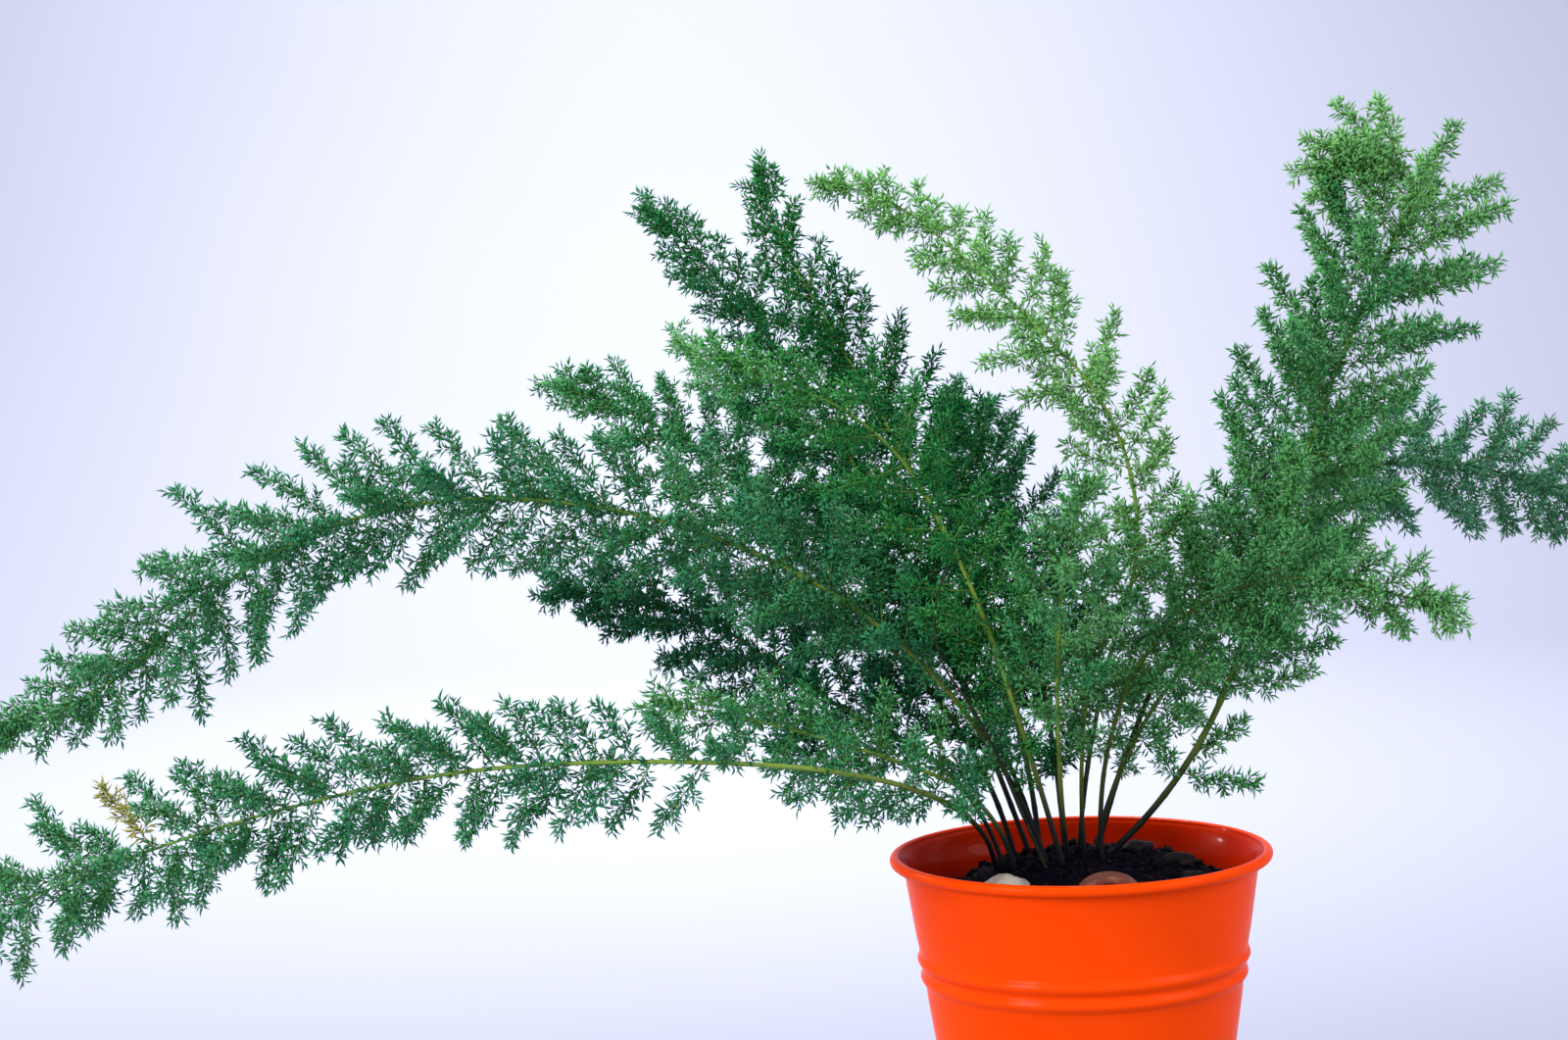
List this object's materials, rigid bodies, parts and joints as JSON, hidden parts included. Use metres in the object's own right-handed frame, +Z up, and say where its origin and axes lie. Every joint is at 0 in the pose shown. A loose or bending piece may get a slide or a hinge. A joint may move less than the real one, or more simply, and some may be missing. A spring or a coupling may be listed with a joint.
{
  "type": "foxtail fern",
  "caption": "Potted foxtail fern: arching needle-leaved plumes fanning out of dark soil in a round, tapered, orange enamelled sheet-metal pot with a rolled rim and pressed ribs.",
  "frame": {"origin": "centre of the pot's flat base, on the surface it stands on", "axes": "+Z up; the picture looks along +Y, and +X is its right, away from the two longest fronds"},
  "size_m": [0.727, 0.3504, 0.4296],
  "materials": {
    "orange_enamel": "gloss",
    "soil": "matte",
    "pale_stone": "matte",
    "terracotta": "matte",
    "bark": "matte",
    "dry_stem": "matte",
    "foliage": "satin",
    "young_foliage": "satin"
  },
  "bodies": {
    "root": {"bark_1": "bark", "bark_2": "bark", "bark_3": "bark", "dry_stem": "dry_stem", "frond_arching": "young_foliage", "frond_back_bowed": "foliage", "frond_centre_front": "foliage", "frond_centre_right": "foliage", "frond_far_back": "foliage", "frond_front_left": "foliage", "frond_left_back": "foliage", "frond_left_lower": "foliage", "frond_left_shaded": "foliage", "frond_left_short": "foliage", "frond_left_upper": "foliage", "frond_right_back": "foliage", "frond_right_low": "foliage", "frond_right_short": "foliage", "frond_right_tall": "foliage", "frond_up_left_inner": "foliage", "frond_up_left_outer": "foliage", "pale_stone": "pale_stone", "pot": "orange_enamel", "soil": "soil", "terracotta_chip": "terracotta"}
  },
  "joints": []
}
